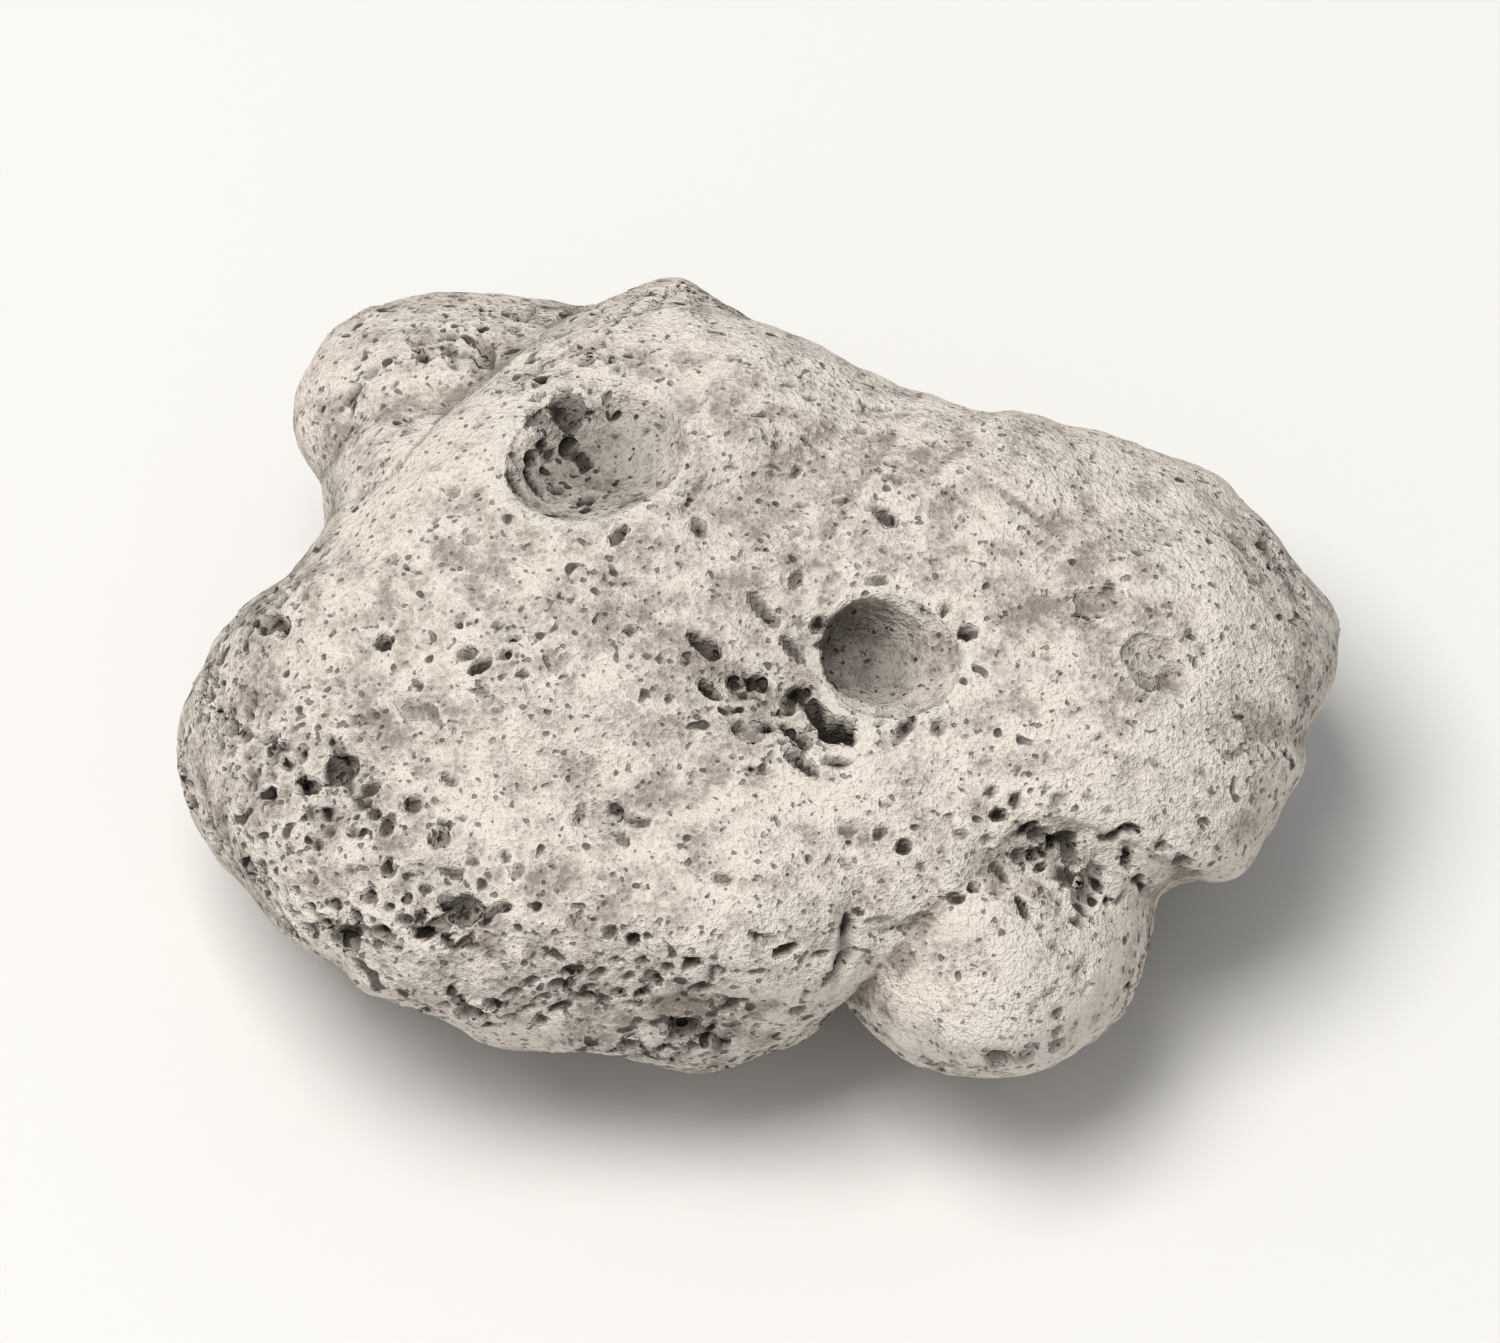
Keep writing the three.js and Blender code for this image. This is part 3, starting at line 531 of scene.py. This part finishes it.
def open_bubble(normal, at, half, turn, depth, reach, lean=(0, 0)):
    """Presses one bubble into the stone round the point numbered at.

    rho is how far out a point lies, 0 at the opening's middle and 1 at its lip. The point moves
    onto the wall at the angle rho times reach, measured round from the bottom: sideways to the
    wall's own distance from the axis, and down by the wall's depth there. Points close to the lip
    are first drawn onto it, so that the lip is crisp, except where the wall runs out softly
    because the bubble's axis leans that way. A soft dent is only pressed down, by the depth times
    the square of 1 - rho squared. Points that lie well below the opening, over an edge of the
    stone, are out of the bubble's reach and stay."""
    farthest = NEAR_SHARE * half[0] + NEAR_MORE
    near = np.flatnonzero(((stone - stone[at]) ** 2).sum(axis=1) < farthest**2)
    near = near[normals[near] @ normal > LEAST_FACING]
    first = unit(np.array([1.0, 0, 0]) - normal[0] * normal)
    normal = unit(normal + lean[0] * first + lean[1] * np.cross(normal, first))
    first = unit(first - (first @ normal) * normal)
    second = np.cross(normal, first)
    c, s = math.cos(math.radians(turn)), math.sin(math.radians(turn))
    long, short = c * first + s * second, c * second - s * first
    offset = stone[near] - stone[at]
    bends = bends_at(stone[near], half)
    u, v = offset @ long + bends[0], offset @ short + bends[1]
    rho = np.hypot(u / half[0], v / half[1])
    crisp = reach > CRISP_REACH or any(lean)
    draw = np.ones(len(rho))
    away = (offset @ first * lean[0] + offset @ second * lean[1]) / half[0]
    steep = np.clip(1 - RUN_OUT * away, 0, 1)
    if crisp and half[1] > 2 * LIP_SNAP:
        close = np.abs(rho - 1) < LIP_SNAP / half[1]
        draw[close] = 1 + (1 / rho[close] - 1) * steep[close]
    rho = rho * draw
    inside = rho < 1
    limit = math.radians(reach)
    rounded = np.maximum(rho, LEAST_RHO)
    wide, down = draw, np.where(inside, depth * (1 - rho**2) ** 2, 0)
    if crisp:
        wide = draw * np.where(inside, np.sin(rho * limit) / rounded / math.sin(limit), 1)
        share = (np.cos(rho * limit) - math.cos(limit)) / (1 - math.cos(limit))
        lump = WALL_LUMP * half[0] + LEAST_LUMP
        uneven = 1 + WALL_UNEVEN * noise(stone[near] / lump, WALL_SEED)
        down = np.where(inside, depth * share * uneven, 0)
    sunk = offset @ normal + SAG_SHARE * half[0]
    hold = np.clip(1 + sunk / depth, 0, 1)
    down = down * hold
    move = (u * (wide - 1) * hold)[:, None] * long + (v * (wide - 1) * hold)[:, None] * short
    stone[near] += move - down[:, None] * normal
    # Painted shade: the bubble's bottom is darkened in colour, the more the deeper it is.
    darkness = np.clip(down / (2 * half[1]), 0, 1) ** SHADE_POWER
    pit_shade[near] += darkness * max(half[1] / CALM_SIZE, 1) ** WIDE_POWER
    if crisp:
        # The rim round a crisp bubble is painted pale: a painted highlight, with some worn
        # paleness.
        rim = np.exp(-(((rho - RIM_AT) / RIM_WIDTH) ** 2)) * min(half[1] / FULL_RIM, 1) * steep
        lip_wear_and_highlight[near] = np.where(inside, 0, np.maximum(lip_wear_and_highlight[near], rim))
        stone[near] += LIP_HEIGHT * rim[:, None] * normal


froth = FROTH_MEAN + FROTH_WANDER * noise(stone / FROTH_SIZE, FROTH_SEED)
froth += FACE_SHARE * (directions[:, 2] > FACE_BEGINS)
for patches, share in ((RAGGED, RAGGED_SHARE), (SMOOTH, SMOOTH_SHARE)):
    for (x, y), radius, *_ in patches:
        away = np.hypot(seen[:, 0] - x, seen[:, 1] - y) / radius
        froth += np.where(seen[:, 2] > 0, share * np.exp(-(away**2)), 0)
froth = np.clip(froth, 0, 1)

# Painted shade in the bubbles' bottoms, kept at each point.
pit_shade = np.zeros(len(stone))
# Painted highlight with worn paleness on the bubbles' lips, kept at each point.
lip_wear_and_highlight = np.zeros(len(stone))
# Those that have a place on the face: the bubbles, the pits and the ragged patches' own.
chance = np.random.default_rng(RAGGED_SEED)
placed = list(FACE_BUBBLES)
for x, y, length, width, turn, depth in PITS:
    placed.append(((x, y), (length, width), turn, depth, PIT_REACH))
for (x, y), radius, count in RAGGED:
    for _ in range(count):
        angle = chance.uniform(0, 2 * math.pi)
        out = radius * chance.uniform(0, 1) ** RAGGED_CROWDING
        spot = (x + out * math.cos(angle), y + out * math.sin(angle))
        size = RAGGED_SMALLEST * (1 - chance.uniform(0, 1)) ** RAGGED_RARITY
        size = min(size, RAGGED_LARGEST)
        slim = size * chance.uniform(*RAGGED_WIDTHS)
        turn = FLOW_TURN + chance.uniform(*RAGGED_TURNS)
        depth = slim * chance.uniform(*RAGGED_DEPTHS)
        reach = chance.uniform(*RAGGED_REACHES)
        placed.append((spot, (size, slim), turn, depth, reach))

normals = normals_of(stone, stone_faces)
for (x, y), half, turn, depth, reach, *lean in sorted(placed, key=lambda bubble: -bubble[1][0]):
    away = np.hypot(seen[:, 0] - x, seen[:, 1] - y) + BEHIND * (seen[:, 2] < 0)
    at = int(np.argmin(away))
    open_bubble(normals[at].copy(), at, half, turn, depth, reach, *lean)
    if half[0] > LARGE:
        normals = normals_of(stone, stone_faces)

# The scars, the bubbles all round, and the small ones in their drifts.
for toward, half, turn, depth, reach in SCARS:
    at = int(np.argmax(directions @ unit(np.array(toward))))
    open_bubble(normals[at].copy(), at, half, turn, depth, reach)
groups = [
    (scattered(*ROUND_BUBBLES, ROUND_START), False),
    (scattered(*SMALL_BUBBLES, SMALL_START), True),
]
for group, in_drifts in groups:
    normals = normals_of(stone, stone_faces)
    order = np.argsort(-group[1][:, 0])
    for toward, half, turn, depth, reach in zip(*(values[order] for values in group)):
        at = int(np.argmax(directions @ toward))
        if in_drifts:
            edge = DRIFT_EDGE - froth[at] if froth[at] > WORN_SMOOTH else 1
            if noise(stone[at : at + 1] * DRIFT_SCALE, DRIFT_SEED)[0] < edge:
                continue
            turn = FLOW_TURN + (turn - 180) * FLOW_STRAY
            depth = SMALL_DEPTH * half[1]
        open_bubble(normals[at].copy(), at, half, turn, depth, reach)

# The stone lies on a flat that is worn into it, with a softly rounded edge: a parabola joins the
# flat to the skin, over heights that are less than this from it.
WORN_EDGE = 0.35
low = stone[:, 2]
rounded = (low + WORN_EDGE) ** 2 / (4 * WORN_EDGE)
stone[:, 2] = np.where(low < -WORN_EDGE, 0, np.where(low < WORN_EDGE, rounded, low))


def bulge(points, faces, outward):
    """How far the skin curves outward at each point, per millimetre: twice the height of the point
    over the middles of its faces, divided by their mean squared distance."""
    middles = points[faces].mean(axis=1)
    height, square = np.zeros(len(points)), np.zeros(len(points))
    for k in range(4):
        step = points[faces[:, k]] - middles
        height += np.bincount(faces[:, k], (step * outward[faces[:, k]]).sum(axis=1), len(points))
        square += np.bincount(faces[:, k], (step**2).sum(axis=1), len(points))
    return 2 * height / square


# The stone's edges are rubbed pale and carry a painted highlight, and its creases hold dust and
# painted shade. The share of that, from -1 to 1, is the mean of two: tanh of the form's bulge and
# tanh of the grain's, each over its value here.
FORM_BULGE = 0.5
GRAIN_BULGE = 5.0
form = lay(seen)
form_bulge = bulge(form, stone_faces, normals_of(form, stone_faces))
grain_bulge = bulge(stone, stone_faces, normals_of(stone, stone_faces))
ridge_wear_and_light = (np.tanh(form_bulge / FORM_BULGE) + np.tanh(grain_bulge / GRAIN_BULGE)) / 2

# The stone's piece: the finished skin as one closed mesh, with values at its points for the
# material to read.
MILLIMETRE = 0.001
stone_mesh = bpy.data.meshes.new("lava_stone")
stone_mesh.from_pydata((stone * MILLIMETRE).tolist(), [], stone_faces.tolist())
stone_mesh.polygons.foreach_set("use_smooth", np.ones(len(stone_faces), bool))
# Changes of tone over the skin, in patches of four sizes, each with its share.
TONES = [(6.0, 0.45), (2.2, 0.3), (0.8, 0.5), (0.45, 1.1)]
TONE_SEED = 50
tone = sum(
    share * noise(stone / size, TONE_SEED + layer) for layer, (size, share) in enumerate(TONES)
)
for name, values in {"pit_shade": pit_shade, "lip_wear_and_highlight": lip_wear_and_highlight, "tone": tone, "ridge_wear_and_light": ridge_wear_and_light, "froth": froth}.items():
    shares = stone_mesh.attributes.new(name, "FLOAT", "POINT")
    shares.data.foreach_set("value", values.astype(np.float32))
stone_piece = bpy.data.objects.new("lava_stone", stone_mesh)
bpy.context.scene.collection.objects.link(stone_piece)
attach(stone_piece, "root")
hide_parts("lava_rock")

# The stone's material: dull, warm grey-beige volcanic glass froth. It is mottled in slow patches,
# speckled by its grain, full of pores finer than a pin's point, and painted darker down in the
# pits and pores as painted shade.


class Shade:
    """A socket of a material, so that an expression on numbers adds its Math nodes."""

    def __init__(self, tree, socket=None):
        self.tree = tree
        self.socket = socket

    def node(self, kind, values=(), output=0, **settings):
        """Any node by its type, with its settings first and then its sockets' values or links."""
        made = self.tree.nodes.new(kind)
        for name, value in settings.items():
            setattr(made, name, value)
        for name, value in dict(values).items():
            if isinstance(value, Shade):
                self.tree.links.new(value.socket, made.inputs[name])
            else:
                made.inputs[name].default_value = value
        return Shade(self.tree, made.outputs[output])

    def math(self, operation, *others):
        """A Math node with this as its first value."""
        values = {index: value for index, value in enumerate((self, *others))}
        return self.node("ShaderNodeMath", values, operation=operation)

    def __add__(self, other):
        return self.math("ADD", other)

    __radd__ = __add__

    def __mul__(self, other):
        return self.math("MULTIPLY", other)

    __rmul__ = __mul__

    def __sub__(self, other):
        return self.math("SUBTRACT", other)

    def __rsub__(self, other):
        return (self * -1).math("ADD", other)

    def step(self, low, high):
        """0 below low and 1 above high, with a smooth rise between."""
        values = {"Value": self, "From Min": low, "From Max": high}
        return self.node("ShaderNodeMapRange", values, interpolation_type="SMOOTHSTEP")

    def mix(self, first, second):
        """The first colour where this is 0 and the second where it is 1."""
        values = {"Factor": self, 6: first, 7: second}
        return self.node("ShaderNodeMix", values, 2, data_type="RGBA")


def srgb(red, green, blue):
    """Blender's linear RGBA of a colour given in display values from 0 to 255: each value over
    255, plus 0.055, over 1.055, to the power 2.4."""
    linear = [((c / 255 + 0.055) / 1.055) ** 2.4 for c in (red, green, blue)]
    return (*linear, 1)


PALE = srgb(230, 221, 211)
DULL = srgb(152, 142, 132)
LIP_WEAR_AND_HIGHLIGHT_COLOUR = srgb(228, 220, 210)
SPECK_COLOUR = srgb(62, 54, 48)
PIT_SHADE_COLOUR = srgb(48, 41, 36)
STONE_ROUGHNESS, STONE_SPECULAR = 0.95, 0.25
# How pale the skin is: its middle, what its tones, its rubbed edges with their painted highlight
# and the painted shade in its creases, and its fine grain add, and what its froth takes away.
PALENESS, TONE_SHARE, RIDGE_WEAR_AND_LIGHT_SHARE, FINE_SHARE, OPEN_SHARE = 0.62, 0.36, 0.5, 1.45, 0.3
# How much of their own colours the lips, pale with wear and a painted highlight, and the crystals
# show, and the noise from which a crystal begins and is full.
LIP_WEAR_AND_HIGHLIGHT_SHARE, CRYSTAL_SHARE = 0.8, 0.7
CRYSTAL_RISE = (0.76, 0.81)
# How dark the painted shade in the two sizes of fine holes is, how dark the painted shade makes
# the skin at most, and the heights in millimetres of the fine grain over the holes.
PORE_SHADE, PRICK_SHADE, DARKEST = 0.85, 0.6, 0.94
FINE_HEIGHT, PORE_DEPTH, PRICK_DEPTH = 0.2, 0.22, 0.08

stone_material = bpy.data.materials.new("lava_stone")
stone_material.use_nodes = True
tree = stone_material.node_tree
shader = tree.nodes["Principled BSDF"]
nodes = Shade(tree)
place = nodes.node("ShaderNodeTexCoord", output="Object")


def share_of(name):
    """One of the stone's own values, kept at its points."""
    return nodes.node("ShaderNodeAttribute", output="Fac", attribute_name=name)


def grain(size, detail, rough=0.5):
    """Noise from 0 to 1 with patches of a size in millimetres."""
    scale = 1 / (size * MILLIMETRE)
    values = {"Vector": place, "Scale": scale, "Detail": detail, "Roughness": rough}
    return nodes.node("ShaderNodeTexNoise", values, output="Fac")


def holes(size, detail, froth_adds, rise):
    """1 in the holes and 0 between them: a step, from where they begin to where they are full, of
    the grain plus a share of the froth."""
    return (grain(size, detail) + open_here * froth_adds).step(*rise)


open_here = share_of("froth")
fine = grain(size=0.18, detail=2, rough=0.7)
# Edges lighter and creases darker: partly wear and dust, partly painted highlight and painted
# shade.
rub_and_painted_light = share_of("tone") * TONE_SHARE + share_of("ridge_wear_and_light") * RIDGE_WEAR_AND_LIGHT_SHARE - open_here * OPEN_SHARE
colour = (rub_and_painted_light + (fine - 0.5) * FINE_SHARE + PALENESS).step(0, 1).mix(DULL, PALE)
# Dark crystals are scattered in the grain.
crystal = grain(size=0.25, detail=0).step(*CRYSTAL_RISE) * CRYSTAL_SHARE
colour = crystal.mix(colour, SPECK_COLOUR)
# Painted highlight with worn paleness on the bubbles' lips.
colour = (share_of("lip_wear_and_highlight") * LIP_WEAR_AND_HIGHLIGHT_SHARE).mix(colour, LIP_WEAR_AND_HIGHLIGHT_COLOUR)
# Holes too small for the mesh, in two sizes, darkened with painted shade.
pore = holes(size=0.36, detail=0, froth_adds=0.15, rise=(0.76, 0.9))
prick = holes(size=0.22, detail=1, froth_adds=0.08, rise=(0.66, 0.76))
hole_shade = (pore * PORE_SHADE).math("MAXIMUM", prick * PRICK_SHADE)
# Painted shade: the pits and fine holes are darkened toward the pit shade colour.
shade = (hole_shade + share_of("pit_shade")).math("MINIMUM", DARKEST)
colour = shade.mix(colour, PIT_SHADE_COLOUR)
tree.links.new(colour.socket, shader.inputs["Base Color"])
height = fine * FINE_HEIGHT - pore * PORE_DEPTH - prick * PRICK_DEPTH
bump = nodes.node("ShaderNodeBump", {"Height": height, "Distance": MILLIMETRE}, output="Normal")
tree.links.new(bump.socket, shader.inputs["Normal"])
shader.inputs["Roughness"].default_value = STONE_ROUGHNESS
shader.inputs["Specular IOR Level"].default_value = STONE_SPECULAR
stone_mesh.materials.append(stone_material)

# The floor: a plain sheet of white card under the stone, wide enough to fill every view.
FLOOR_SIDE = 3.0
FLOOR_COLOUR = srgb(232, 231, 229)
FLOOR_ROUGHNESS = 0.9
half_side = FLOOR_SIDE / 2
corner_signs = ((-1, -1), (1, -1), (1, 1), (-1, 1))
floor_corners = [(half_side * x, half_side * y, 0) for x, y in corner_signs]
floor_mesh = bpy.data.meshes.new("floor")
floor_mesh.from_pydata(floor_corners, [], [(0, 1, 2, 3)])
floor_material = bpy.data.materials.new("floor")
floor_material.use_nodes = True
floor_shader = floor_material.node_tree.nodes["Principled BSDF"]
floor_shader.inputs["Base Color"].default_value = FLOOR_COLOUR
floor_shader.inputs["Roughness"].default_value = FLOOR_ROUGHNESS
floor_mesh.materials.append(floor_material)
floor = bpy.data.objects.new("floor", floor_mesh)
bpy.context.scene.collection.objects.link(floor)

# The light: a soft box high over the stone, a little to its left and toward the eye, and an even
# pale sky all round. The way to the box is a direction, and its power is in watts.
SKY = (0.97, 0.985, 1.0, 1)
SKY_STRENGTH = 0.38
LIGHT_TOWARD = Vector((-0.27, -0.11, 1)).normalized()
LIGHT_DISTANCE = 0.5
LIGHT_SIDE = 0.26
LIGHT_POWER = 2.3
LIGHT_COLOUR = (1.0, 0.98, 0.95)
world = bpy.data.worlds.new("sky")
world.use_nodes = True
world.node_tree.nodes["Background"].inputs["Color"].default_value = SKY
world.node_tree.nodes["Background"].inputs["Strength"].default_value = SKY_STRENGTH
bpy.context.scene.world = world
lamp = bpy.data.lights.new("soft_box", "AREA")
lamp.size = LIGHT_SIDE
lamp.energy = LIGHT_POWER
lamp.color = LIGHT_COLOUR
soft_box = bpy.data.objects.new("soft_box", lamp)
bpy.context.scene.collection.objects.link(soft_box)
soft_box.location = LIGHT_TOWARD * LIGHT_DISTANCE
soft_box.rotation_euler = LIGHT_TOWARD.to_track_quat("Z", "Y").to_euler()

# The camera looks down on the stone at the photograph's angle, from a long way off for its size.
# The stone's width fills this share of the picture's.
CAMERA_DISTANCE = 0.6
NEAREST_SEEN = 0.01
STONE_SHARE = 0.78
STONE_WIDTH = 28.7 * MILLIMETRE
camera_data = bpy.data.cameras.new("camera")
camera = bpy.data.objects.new("camera", camera_data)
bpy.context.scene.collection.objects.link(camera)
toward_eye = Vector((0, -math.cos(VIEW_ELEVATION), math.sin(VIEW_ELEVATION)))
aim = Vector(FACE_MIDDLE * MILLIMETRE)
camera.location = aim + toward_eye * CAMERA_DISTANCE
camera.rotation_euler = toward_eye.to_track_quat("Z", "Y").to_euler()
camera_data.lens = camera_data.sensor_width * CAMERA_DISTANCE * STONE_SHARE / STONE_WIDTH
camera_data.clip_start = NEAREST_SEEN
bpy.context.scene.camera = camera
bpy.context.scene.view_settings.view_transform = "Standard"
